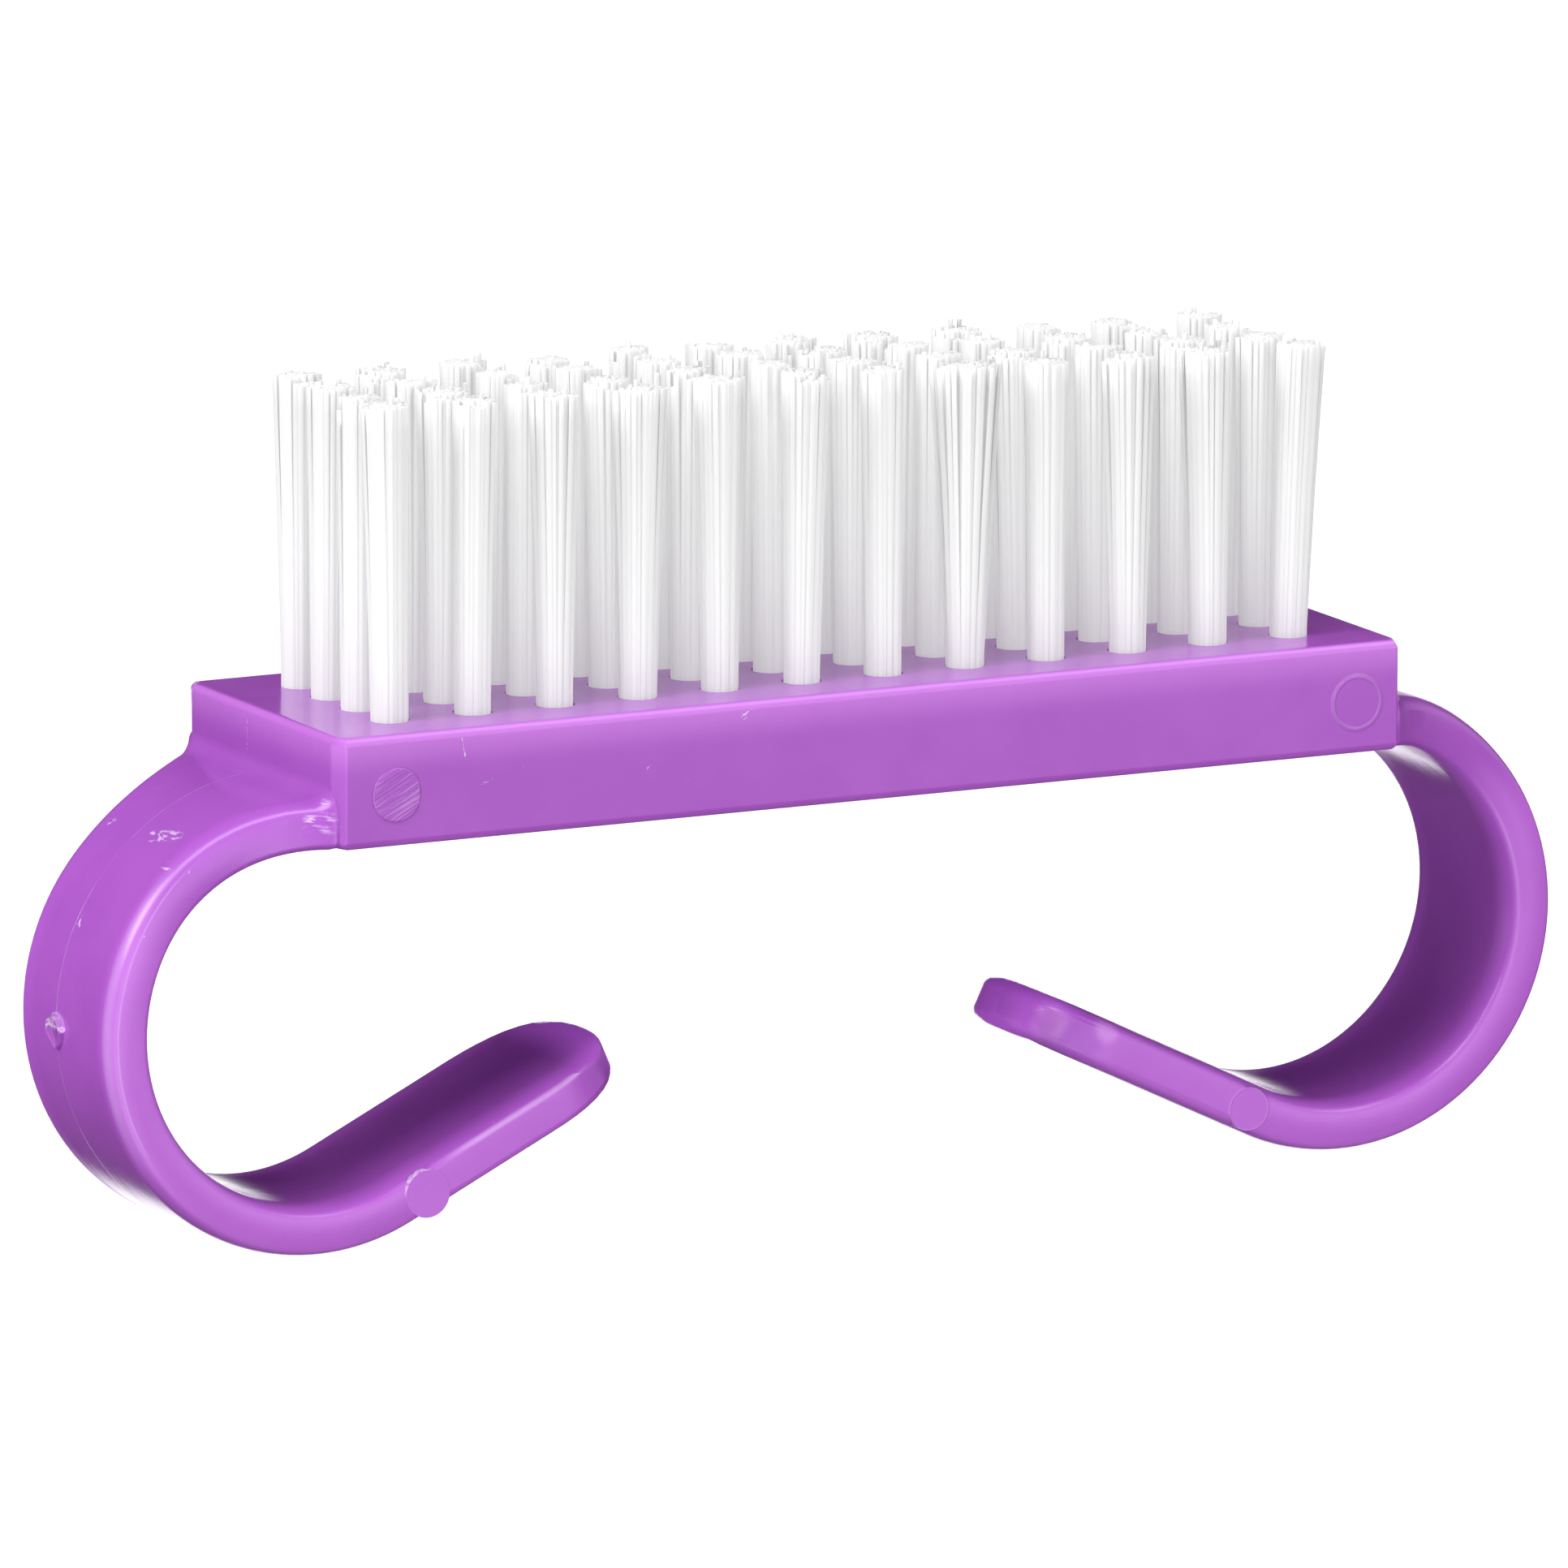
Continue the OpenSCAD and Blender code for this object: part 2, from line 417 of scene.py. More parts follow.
tongue_start = Vector((ring_x, 0, ring_z)) - tongue_normal * middle_r
moved = 0
for vertex in hook.data.vertices:
    offset = vertex.co - tongue_start
    along = offset.dot(tongue_direction)
    inwards = offset.dot(tongue_normal)
    if vertex.co.x > ring_x or along < straight + touching or abs(inwards) > past_skin:
        continue
    share = min((along - straight) / tip_length, 1.0)
    if vertex.co.y < 0:
        curves, half_here, step, fullness = low_curves["front"], half_band, step_proud, tip_fullness
    else:
        curves, half_here, step, fullness = low_curves["back"], half_band + far_extra, 0.0, back_fullness
    across = vertex.co.y * tip_half(share, fullness)
    nearness = (share ** fullness + abs(across / half_here) ** fullness) ** (1 / fullness)
    distance = (1 - nearness) * (half_here + (tip_length - half_here) * share)
    inner_curve = between(curves["inner"], tip_inner, share)
    outer_curve = between(curves["outer"], tip_outer, share)
    if inwards > band_thickness / 2 - curves["inner"][1] - touching:
        inwards = band_thickness / 2 - low_curve(distance, *inner_curve)
    elif inwards < curves["outer"][1] - band_thickness / 2 + touching:
        inwards = low_curve(distance - step, *outer_curve) - band_thickness / 2
    else:
        inwards += outer_curve[1] - curves["outer"][1]
    place = tongue_start + tongue_direction * along + tongue_normal * inwards
    vertex.co = (place.x, across, place.z)
    moved += 1
print("Points moved at the tip:", moved)

# %% [markdown]
# Beside the block the band is nearly as wide as the block, and it narrows along two hollows to the
# width of the ring. So each point moves out from the middle by what the plan says at its place along
# the brush. The same pass lifts the outer skin beside the block's end into a small hollow fillet.

# %% Flare the root and fill its inner corner
root_inset = 0.33 * MM
root_overlap = 1.2 * MM
root_lift = 0.13 * MM
flare_out = 6.4 * MM
flare_rise = (block_width - 2 * root_inset - band_width) / 2
flare_radius = (flare_out ** 2 + flare_rise ** 2) / (2 * flare_rise)


def extra_width(x):
    """How much further out the side of the band lies at this place than the ring's side."""
    left = min(max(block_end + flare_out - x, 0.0), flare_out)
    return flare_radius - math.sqrt(flare_radius ** 2 - left ** 2)


def extra_height(x):
    """How much the fillet lifts the outer skin at this place."""
    past = min(max(x - block_end, 0.0), fillet)
    return fillet - math.sqrt(fillet ** 2 - (fillet - past) ** 2)


for vertex in hook.data.vertices:
    x, y, z = vertex.co
    if z > ring_z and abs(y) > band_width / 4:
        share = 1.0 if y < 0 else 1 - far_extra / flare_rise
        vertex.co.y += math.copysign(extra_width(x) * share, y)
    distance = math.hypot(x - ring_x, z - ring_z)
    above_step = (distance - (ring_outer_r - front_outer_height)) / front_outer_height
    if z > ring_z and above_step > 0:
        vertex.co.z += extra_height(x) * min(above_step, 1.0)
open_piece(hook)
pick("FACE", lambda face: abs(face.normal.x) > 0.99 and face.calc_center_median().z > block_bottom)
print("Root faces picked:", sum(1 for face in bmesh.from_edit_mesh(hook.data).faces if face.select))
bpy.ops.mesh.extrude_region_move(TRANSFORM_OT_translate={"value": (-root_overlap, 0, root_lift)})
close_piece()
report("Flared hook:", hook)

# %% [markdown]
# The two hooks mirror each other, so the left one is a mirrored copy of the right. Mirroring turns
# a mesh inside out, so its faces are turned outwards again before it is used.

# %% Mirror the hook and join all three
take(hook)
bpy.ops.object.duplicate()
left_hook = bpy.context.active_object
left_hook.name = "left_hook"
open_piece(left_hook)
select_all()
bpy.ops.transform.mirror(constraint_axis=(True, False, False), center_override=(0, 0, 0))
close_piece()
apply_boolean(block, hook, "UNION")
apply_boolean(block, left_hook, "UNION")
report("Moulding:", block)

# %% [markdown]
# Pins push the warm moulding out of its mould, and each leaves a round mark. The pads here are low
# discs with a soft rim. They are joined to the moulding, so that light bends round them as it does
# on the real one.

# %% Add the marks of the pins
pad_root = 0.3 * MM


def add_pad(name, radius, proud, place, rim):
    """Adds a low disc that faces the front of the brush, with a soft rim."""
    depth = proud + pad_root
    front = place[1] - proud
    pad = add_cylinder(name, 48, radius, depth, (place[0], front + depth / 2, place[2]), (math.pi / 2, 0, 0))
    open_piece(pad)
    pick("EDGE", lambda edge: max(abs(vertex.co.y - front) for vertex in edge.verts) < touching)
    bevel(rim, 3)
    close_piece()
    return pad


def tongue_place(side, along, outwards):
    """A place on the front of a tongue: along it from the ring's end, and outwards from its middle."""
    place = Vector((ring_x, 0, ring_z)) - tongue_normal * (middle_r + outwards) + tongue_direction * along
    return (side * place.x, -half_band, place.z)


mark_x = 21.22 * MM
mark_z = 19.05 * MM
mark_radius = 1.10 * MM
left_hook_radius = 0.98 * MM
right_hook_radius = 0.88 * MM
flat_x = -mark_x + 0.93 * MM
left_mark_place = (-mark_x, front_y, mark_z)
right_mark_place = (mark_x + 0.4 * MM, front_y, mark_z)
left_hook_place = tongue_place(-1, 0.98 * MM, 0.12 * MM)
right_hook_place = tongue_place(1, 0.85 * MM, 0.05 * MM)
left_pad = add_pad("left_pad", mark_radius, 0.06 * MM, left_mark_place, 0.04 * MM)
open_piece(left_pad)
pick("VERT", lambda vertex: vertex.co.x > flat_x)
stretch((0.12, 1, 1), (flat_x, 0, 0))
close_piece()
pads = (
    left_pad,
    add_pad("right_pad", mark_radius, 0.025 * MM, right_mark_place, 0.02 * MM),
    add_pad("left_hook_pad", left_hook_radius, 0.018 * MM, left_hook_place, 0.015 * MM),
    add_pad("right_hook_pad", right_hook_radius, 0.022 * MM, right_hook_place, 0.018 * MM),
)
for pad in pads:
    apply_boolean(block, pad, "UNION")
    report("After a pad:", block)

# %% [markdown]
# The plastic entered the mould at a gate on the left hook, which left a small broken stub there. It
# is a short bar of eight sides whose lower end is pulled down and whose broken face is sunk.

# %% Add the stub of the gate
gate_x = -(ring_x + ring_outer_r)
gate_y = 0.75 * MM
gate_z = ring_z - 0.25 * MM
gate_radius = 0.60 * MM
gate = add_cylinder("gate_stub", 8, gate_radius, 0.8 * MM, (gate_x, gate_y, gate_z), (0, -math.pi / 2, 0))
open_piece(gate)
pick("VERT", lambda vertex: vertex.co.z < gate_z - 0.55 * MM)
move(0, 0, -0.12 * MM)
pick("VERT", lambda vertex: vertex.co.x < gate_x)
move(0.15 * MM, 0, 0)
pick("VERT", lambda vertex: vertex.co.x < gate_x and vertex.co.z < gate_z - 0.1 * MM)
move(0.13 * MM, 0, 0)
pick("FACE", lambda face: face.normal.x < -0.7)
bpy.ops.mesh.inset(thickness=0.09 * MM, depth=-0.05 * MM)
select_all()
bpy.ops.mesh.quads_convert_to_tris()
close_piece()
apply_boolean(block, gate, "UNION")
report("Moulding with its marks:", block)

# %% [markdown]
# Each tuft sits in a blind hole, and its wire bites into two slits at the hole's sides. One cutter
# of 48 pins makes the holes, and one of 48 small bars makes the slits, each in one cut.

# %% Cut the holes and their slits
slit_gap = 0.02 * MM


def tuft_middle(row, column):
    """Where a tuft stands on the block."""
    x = (column - (columns + 1) / 2) * pitch_x
    y = (row - (rows + 1) / 2) * pitch_y
    return x, y


def copy_to_all_holes(master, name):
    """Joins one copy of a cutter's mesh for each hole into one piece."""
    shape = bmesh.new()
    for row, column in grid:
        plant(shape, master, shifted(*tuft_middle(row, column)))
    mesh = bpy.data.meshes.new(name)
    shape.to_mesh(mesh)
    shape.free()
    bpy.data.objects.remove(master)
    return add_object(name, mesh)


def add_wire_space(name, length):
    """Adds a bar with room for a wire and a small gap round it."""
    height = anchor_top - anchor_bottom + 2 * slit_gap
    return add_cube(name, length, wire_width + 2 * slit_gap, height, (0, 0, (anchor_bottom + anchor_top) / 2))


hole_height = block_top + 0.5 * MM - hole_bottom
pin = add_cylinder("pin", 28, hole_radius, hole_height, (0, 0, hole_bottom + hole_height / 2))
apply_boolean(block, copy_to_all_holes(pin, "hole_cutter"), "DIFFERENCE")
bar = add_wire_space("slit_bar", wire_length + 2 * slit_gap)
apply_boolean(block, copy_to_all_holes(bar, "slit_cutter"), "DIFFERENCE")
report("Moulding with its holes:", block)

# %% [markdown]
# Shading by angle keeps true corners sharp, and a Weighted Normal modifier lets the large flat faces
# decide the direction at their borders, so each small rounding shines on its own.

# %% Shade the moulding
handle = block
take(handle)
bpy.ops.object.shade_smooth_by_angle(angle=math.radians(38))
weighted = handle.modifiers.new("flat faces lead", "WEIGHTED_NORMAL")
weighted.keep_sharp = True
weighted.weight = 80
bpy.ops.object.modifier_apply(modifier=weighted.name)
clear_selection()
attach(handle, "root")
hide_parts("handle")
print("Moulding shaded:", handle.name)

# %% [markdown]
# A tuft is a bundle of nylon filaments that is folded over a wire and pushed into its hole. One
# filament is modelled, six sides round and four stretches long, for every tuft to copy. The folded
# end is a short plug with room for its wire.

# %% Model one filament and the folded root
filament_radius = 0.103 * MM
filament_root = anchor_top + 0.05 * MM
tip_rise = 0.0012
filament = add_cylinder("filament", 6, filament_radius, 1, (0, 0, 0.5))
open_piece(filament)
for level in (0.12, 0.55, 0.93):
    select_all()
    bpy.ops.mesh.bisect(plane_co=(0, 0, level), plane_no=(0, 0, 1))
pick("FACE", lambda face: face.normal.z > 0.9)
bpy.ops.mesh.inset(thickness=0.02 * MM, depth=0.0)
move(0, 0, tip_rise)
close_piece()
ring_levels = [vertex.co.z for vertex in filament.data.vertices]
print("Filament:", len(filament.data.vertices), "points,", len(filament.data.polygons), "faces")

plug_radius = 0.78 * MM
plug_height = filament_root - hole_bottom
plug = add_cylinder("folded_root", 16, plug_radius, plug_height, (0, 0, hole_bottom + plug_height / 2))
open_piece(plug)
pick("EDGE", lambda edge: max(vertex.co.z for vertex in edge.verts) < hole_bottom + touching)
bevel(0.3 * MM, 3)
close_piece()
apply_boolean(plug, add_wire_space("wire_room", 2.4 * MM), "DIFFERENCE")
report("Folded root:", plug)

# %% [markdown]
# Filaments stand packed like the seeds of a sunflower, lean out towards their tips and are cut to
# nearly one height. Tufts on the left stand a little taller, some fan out more, and the last one in
# front leans outwards: seeded random numbers give each its own character, the same in every run.
# Nylon carries light sideways, so normals lean outwards and let a bundle shine as one body.

# %% Plant the tufts
filaments_per_tuft = 62
golden_turn = math.radians(137.508)
height_by_column = (12.55, 12.5, 12.45, 12.4, 12.42, 12.39, 12.25, 12.15, 12.02, 11.95, 11.85, 11.8)
tuft_pieces = []


def nudge(chance, most):
    """A random step across, at most this many millimetres each way."""
    return Vector((chance.uniform(-most, most), chance.uniform(-most, most), 0)) * MM


def tuft_mesh(row, column):
    """The mesh of one tuft, and which way each of its points lies from the tuft's middle."""
    chance = random.Random(100 * row + column)
    x, y = tuft_middle(row, column)
    splay = chance.uniform(0.12, 0.36)
    if row == 1 and column == 8:
        splay = 0.62
    lean = nudge(chance, 0.12)
    if row == 1 and column == 12:
        lean = Vector((0.45, 0.0, 0)) * MM
    height = (height_by_column[column - 1] - 0.03 * (row - 1) + chance.uniform(-0.06, 0.06)) * MM
    notch_turn = chance.uniform(0, 2 * math.pi)
    notch_side = Vector((math.cos(notch_turn), math.sin(notch_turn), 0))
    notch_from = chance.uniform(0.2, 0.8)
    notch_depth = chance.uniform(0.08, 0.26) * MM
    shape = bmesh.new()
    plant(shape, plug, shifted(x, y))
    outwards = [Vector((0, 0, 0))] * len(shape.verts)
    for number in range(filaments_per_tuft):
        spread = math.sqrt((number + 0.5) / filaments_per_tuft)
        turn = number * golden_turn + 2.4 * row + column
        out = Vector((math.cos(turn), math.sin(turn), 0)) * spread
        start = out * (plug_radius - filament_radius)
        bend = out * splay * MM * chance.uniform(0.7, 1.3) + lean + nudge(chance, 0.05)
        tall = height + chance.gauss(0, 0.022) * MM
        if out.dot(notch_side) > notch_from:
            tall -= notch_depth
        if chance.random() < 0.035:
            tall += chance.uniform(0.12, 0.35) * MM
        if chance.random() < 0.035:
            tall -= chance.uniform(0.2, 0.6) * MM
        reach = block_top + tall - filament_root
        spin = chance.uniform(0, 1.0)

        def place(point):
            rise = point.z
            free = max(0.0, (filament_root + rise * reach - block_top) / tall)
            side = start + bend * (0.75 * free + 0.25 * free * free)
            round_x = point.x * math.cos(spin) - point.y * math.sin(spin)
            round_y = point.x * math.sin(spin) + point.y * math.cos(spin)
            return Vector((x + side.x + round_x, y + side.y + round_y, filament_root + rise * reach))

        plant(shape, filament, place)
        for level in ring_levels:
            if level > 1 + tip_rise / 2:
                outwards.append(Vector((0, 0, 2)))
            elif level > 0.99:
                outwards.append(out * 0.5 + Vector((0, 0, 0.12)))
            else:
                outwards.append(out)
    mesh = bpy.data.meshes.new("tuft")
    shape.to_mesh(mesh)
    shape.free()
    return mesh, outwards


for row, column in grid:
    mesh, outwards = tuft_mesh(row, column)
    piece = add_object("bristles_r%d_c%02d" % (row, column), mesh)
    take(piece)
    bpy.ops.object.shade_smooth()
    normals = [(vertex.normal * 0.5 + out).normalized() for vertex, out in zip(mesh.vertices, outwards)]
    mesh.normals_split_custom_set_from_vertices(normals)
    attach(piece, "root")
    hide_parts("tuft_r%d_c%02d" % (row, column))
    tuft_pieces.append(piece)
clear_selection()
bpy.data.objects.remove(filament)
bpy.data.objects.remove(plug)
print("Tufts:", len(tuft_pieces), "with", len(tuft_pieces[0].data.polygons), "faces each")

# %% [markdown]
# Shader maths reads best as plain sums. The class Value stands for one value in a material, and the
# usual signs between two of them add Math nodes. The class Finish holds a material's tree and adds
# any other node by its type, its settings and the values or links of its sockets.

# %% Helpers for shader maths


class Value:
    """A value in a material. Sums of values add Math nodes."""

    def __init__(self, socket):
        self.socket = socket
        self.tree = socket.id_data

    def combine(self, operation, *others):
        node = self.tree.nodes.new("ShaderNodeMath")
        node.operation = operation
        for slot, other in enumerate(others):
            if isinstance(other, Value):
                self.tree.links.new(other.socket, node.inputs[slot])
            else:
                node.inputs[slot].default_value = other
        return Value(node.outputs[0])

    def __radd__(self, other):
        return self.combine("ADD", other, self)

    def __rsub__(self, other):
        return self.combine("SUBTRACT", other, self)

    def __rmul__(self, other):
        return self.combine("MULTIPLY", other, self)

    def fade(self, start, end):
        """Goes smoothly from nothing at start to one at end."""
        node = self.tree.nodes.new("ShaderNodeMapRange")
        node.interpolation_type = "SMOOTHSTEP"
        self.tree.links.new(self.socket, node.inputs["Value"])
        node.inputs["From Min"].default_value = start
        node.inputs["From Max"].default_value = end
        return Value(node.outputs["Result"])


def add_step(name, operation):
    """Gives Value a sign or a named step that adds a Math node."""
    setattr(Value, name, lambda self, *others: self.combine(operation, self, *others))


for name, operation in (
    ("__add__", "ADD"), ("__sub__", "SUBTRACT"), ("__mul__", "MULTIPLY"), ("__truediv__", "DIVIDE"),
    ("__pow__", "POWER"), ("__abs__", "ABSOLUTE"), ("angle_from", "ARCTAN2"), ("root", "SQRT"),
    ("under", "LESS_THAN"), ("over", "GREATER_THAN"), ("least", "MINIMUM"), ("most", "MAXIMUM"),
):
    add_step(name, operation)


class Finish:
    """A material and its shader."""

    def __init__(self, name, base_color, roughness):
        self.material = bpy.data.materials.new(name)
        self.material.use_nodes = True
        self.tree = self.material.node_tree
        self.shader = self.tree.nodes["Principled BSDF"]
        self.shader.inputs["Base Color"].default_value = (*base_color, 1)
        self.shader.inputs["Roughness"].default_value = roughness
        self.place = self.node("ShaderNodeTexCoord", {}, {}, "Object")

    def set(self, values):
        """Sets inputs of the shader that are the same all over."""
        for name, value in values.items():
            self.shader.inputs[name].default_value = value

    def paint(self, piece):
        """Gives a piece this material alone."""
        piece.data.materials.clear()
        piece.data.materials.append(self.material)

    def node(self, kind, settings, sockets, output=0):
        """Adds a node: its settings first, then the value or link of each socket."""
        node = self.tree.nodes.new(kind)
        for name, value in settings.items():
            setattr(node, name, value)
        for name, value in sockets.items():
            if isinstance(value, Value):
                self.tree.links.new(value.socket, node.inputs[name])
            else:
                node.inputs[name].default_value = value
        return Value(node.outputs[output])

    def noise(self, scale, detail=2.0, stretch=(1, 1, 1), turn=(0, 0, 0)):
        """Soft random spots, with their size given by a scale per metre."""
        turned = self.node("ShaderNodeMapping", {}, {"Vector": self.place, "Rotation": turn})
        mapped = self.vector("MULTIPLY", turned, stretch)
        sockets = {"Vector": mapped, "Scale": scale, "Detail": detail}
        return self.node("ShaderNodeTexNoise", {}, sockets, "Fac")

    def mix(self, share, first, second):
        """Mixes two colours. They are the sockets 6 and 7 of a Mix node, and its result is output 2."""
        sockets = {0: share}
        for index, colour in ((6, first), (7, second)):
            sockets[index] = colour if isinstance(colour, Value) else (*colour, 1)
        return self.node("ShaderNodeMix", {"data_type": "RGBA"}, sockets, 2)

    def vector(self, operation, first, second=None, output=0):
        """Adds one Vector Math node."""
        sockets = {0: first}
        if second is not None:
            sockets["Scale" if operation == "SCALE" else 1] = second
        return self.node("ShaderNodeVectorMath", {"operation": operation}, sockets, output)

    def sides(self):
        """The three coordinates of a place on the piece."""
        parts = self.tree.nodes.new("ShaderNodeSeparateXYZ")
        self.tree.links.new(self.place.socket, parts.inputs[0])
        return [Value(part) for part in parts.outputs]

    def far_from(self, place, from_place=None):
        """How far each point is from a place."""
        return self.vector("DISTANCE", from_place or self.place, place, "Value")

    def spot(self, place, radius, soft=0.5, from_place=None):
        """One inside a ball about a place, fading to nothing at its radius."""
        return 1 - self.far_from(place, from_place).fade(radius * (1 - soft), radius)

    def stroke(self, start, end, width, from_place=None):
        """One along a straight line between two places, fading to nothing at its width."""
        start = Vector(start)
        run = Vector(end) - start
        offset = self.vector("SUBTRACT", from_place or self.place, start)
        along = self.vector("DOT_PRODUCT", offset, run / run.length_squared, "Value")
        along = along.least(1.0).most(0.0)
        beside = self.vector("SUBTRACT", offset, self.vector("SCALE", run, along))
        taper = 0.35 + 2.6 * along * (1 - along)
        return 1 - (self.vector("LENGTH", beside, None, "Value") / taper).fade(0.3 * width, width)

    def feed(self, socket, value):
        self.tree.links.new(value.socket, self.shader.inputs[socket])

    def bump(self, height, distance):
        """Feeds a height, in metres at full strength, to the shader's normal."""
        sockets = {"Height": height, "Distance": distance}
        self.feed("Normal", self.node("ShaderNodeBump", {}, sockets, "Normal"))


def strongest(masks):
    """The highest of several masks at each place."""
    total = masks[0]
    for mask in masks[1:]:
        total = total.most(mask)
    return total


def in_metres(place):
    """A place in metres from one in millimetres."""
    return Vector([side * MM for side in place])


print("Shader helpers are ready")

# %% [markdown]
# The moulding is purple plastic that lets a little light in. Its gloss is soft and uneven: the mould
# was polished along the band, which leaves fine lines round the ring. They are noise on the angle
# about each ring's axis, so they follow the curl.

# %% Colour and polish the moulding
purple = Finish("purple_plastic", (0.356, 0.090, 0.486), 0.17)
purple.set({"IOR": 1.46, "Emission Strength": 1.0, "Subsurface Weight": 0.20})
purple.set({"Subsurface Radius": (1.0, 0.45, 1.0), "Subsurface Scale": 1.0 * MM})
soft_spots = purple.noise(260, 3.0)
fine_grain = purple.noise(2600, 2.0)
side_x, side_y, side_z = purple.sides()
ring_side_x = abs(side_x) - ring_x
ring_side_z = side_z - ring_z
ring_turn = ring_side_z.angle_from(ring_side_x)
ring_reach = (ring_side_x * ring_side_x + ring_side_z * ring_side_z).root()
polish_sides = {"X": side_y * 5000.0, "Y": ring_turn * 1.2, "Z": ring_reach * 2500.0}
polish_place = purple.node("ShaderNodeCombineXYZ", {}, polish_sides)
polish = purple.node("ShaderNodeTexNoise", {}, {"Vector": polish_place, "Scale": 1.0, "Detail": 3.0}, "Fac")
on_hook = (abs(side_x) - block_end).fade(-0.1 * MM, 0.3 * MM).most(1 - side_z.fade(14.0 * MM, 16.0 * MM))
print("Moulding coloured in", purple.material.name)

# %% [markdown]
# A used brush has small scars, and each lies where the photograph shows it: hairs and ticks on the
# front, scuffs on the left hook, a torn patch in the corner of its root. They are strokes and spots
# in the material, made ragged by noise, because each is thinner than any face of the mesh.
# A hair has two ends and a width, a patch a middle, a radius and two limits, all in millimetres.

# %% Draw the scars of the moulding
jitter = purple.node("ShaderNodeTexNoise", {}, {"Vector": purple.place, "Scale": 5200.0, "Detail": 2.0}, 1)
jitter = purple.vector("SCALE", purple.vector("SUBTRACT", jitter, (0.5, 0.5, 0.5)), 0.00020)
shaken = purple.vector("ADD", purple.place, jitter)
hairs = [
    ((-18.42, -6.95, 21.30), (-18.30, -6.95, 20.75), 0.035),
    ((-18.32, -6.95, 20.85), (-18.24, -6.95, 20.20), 0.030),
    ((-17.56, -6.95, 19.15), (-17.02, -6.95, 19.32), 0.022),
    ((-15.85, -6.95, 19.70), (-15.62, -6.95, 19.74), 0.030),
    ((-6.10, -6.95, 20.80), (-5.55, -6.95, 21.15), 0.045),
    ((-6.02, -6.95, 20.72), (-5.66, -6.95, 20.92), 0.030),
    ((-10.18, -6.95, 19.10), (-10.09, -6.95, 19.26), 0.030),
    ((-8.40, -6.95, 18.50), (-8.28, -6.95, 18.62), 0.030),
    ((-23.755, 1.27, 21.0), (-23.76, 1.25, 19.5), 0.020),
    ((-28.92, 3.25, 16.72), (-28.70, 3.05, 16.90), 0.07),
    ((-31.40, 0.62, 13.70), (-31.53, 0.50, 13.30), 0.08),
    ((-28.78, -3.95, 16.20), (-29.05, -3.90, 15.96), 0.05),
]
scars = strongest([
    purple.stroke(in_metres(start), in_metres(end), width * MM, shaken) for start, end, width in hairs
])

ragged = purple.noise(4200, 4.0)
streaky = purple.noise(5200, 3.0, (0.35, 0.35, 1.6))
scuffs = [
    ((-23.95, -6.35, 18.05), 0.62, 0.45, 0.75),
    ((-23.90, -6.05, 18.75), 0.42, 0.50, 0.80),
    ((-31.46, 0.56, 13.52), 0.34, 0.54, 0.80),
    ((-24.40, -5.90, 18.05), 0.55, 0.52, 0.70),
    ((-29.40, -3.20, 16.15), 0.45, 0.53, 0.70),
    ((-28.80, 3.2, 16.85), 0.35, 0.52, 0.72),
]
scratch_ends = (in_metres((-28.906, 0.388, 16.80)), in_metres((-28.374, -2.188, 17.20)))
scratch = purple.stroke(*scratch_ends, 0.50 * MM, shaken) * streaky.fade(0.50, 0.66)
scuffed = strongest([scratch] + [
    purple.spot(in_metres(place), radius * MM, 0.8, shaken) * streaky.fade(low, high)
    for place, radius, low, high in scuffs
])

crumbs = purple.node("ShaderNodeTexVoronoi", {"feature": "F1"}, {"Vector": purple.place, "Scale": 520.0})
crumb_kind = Value(crumbs.socket.node.outputs["Color"])
crumb_share = purple.vector("DOT_PRODUCT", crumb_kind, (1.0, 0.0, 0.0), "Value")
specks = (1 - crumbs.fade(0.010, 0.030)) * crumb_share.over(0.72)
print("Scars:", len(hairs), "hairs and", len(scuffs), "scuffed patches")

# %% [markdown]
# The two halves of the mould leave a fine raised line along the outside of a hook. On the left one
# it wanders to the gate. The left pin mark was brushed with a file, so it has slanting lines.

# %% Draw the marks of the mould
line_y = 0.85 * MM
wander = (purple.noise(300, 2.0) - 0.5) * (0.25 * MM)
beside_line = abs(side_y - line_y - wander)
outside = ring_reach.fade(9.30 * MM, 9.38 * MM) * (abs(side_x) - block_end).fade(0.3 * MM, 0.7 * MM)
parting = (1 - beside_line.fade(0.010 * MM, 0.045 * MM)) * outside
parting = parting * purple.noise(700, 2.0).fade(0.30, 0.62)

mark_place = (-mark_x, front_y - 0.06 * MM, mark_z)
in_mark = 1 - purple.far_from(mark_place).fade(1.02 * MM, 1.07 * MM)
file_marks = purple.noise(12000, 3.0, (0.040, 1, 1), (0, math.radians(28), 0))
filed = in_mark * file_marks.fade(0.48, 0.68)
# Painted shade: the cuts between the file lines are painted darker.
file_cut_shade = in_mark * (1 - file_marks.fade(0.32, 0.50))


def ring_mark(place, radius, width):
    """One on a thin ring about a place on the front, such as the rim of a pin's mark."""
    return 1 - abs(purple.far_from(place) - radius).fade(0.3 * width, width)


# Painted highlights: a faint paler ring on the rims of the right pin marks, and a paler curved line on the
# upper left rim of the left hook's pad.
rim_highlights = ring_mark(right_mark_place, 1.08 * MM, 0.13 * MM)
rim_highlights = rim_highlights.most(ring_mark(right_hook_place, right_hook_radius, 0.07 * MM))
arc_place = Vector(left_hook_place) + in_metres((-0.55, 0, 0.65))
arc_highlight = ring_mark(left_hook_place, left_hook_radius, 0.07 * MM)
arc_highlight = arc_highlight * purple.spot(arc_place, 0.95 * MM, 0.6)
arc_highlight = arc_highlight * ragged.fade(0.38, 0.56)
in_gate = purple.spot((gate_x, gate_y, gate_z), 0.80 * MM, 0.1)
cap_rise = side_z - (gate_z + 0.18 * MM) - (ragged - 0.5) * (0.5 * MM)
gate_cap = in_gate * cap_rise.fade(-0.04 * MM, 0.04 * MM)
gate_edge = in_gate * (1 - abs(cap_rise).fade(0.02 * MM, 0.09 * MM))
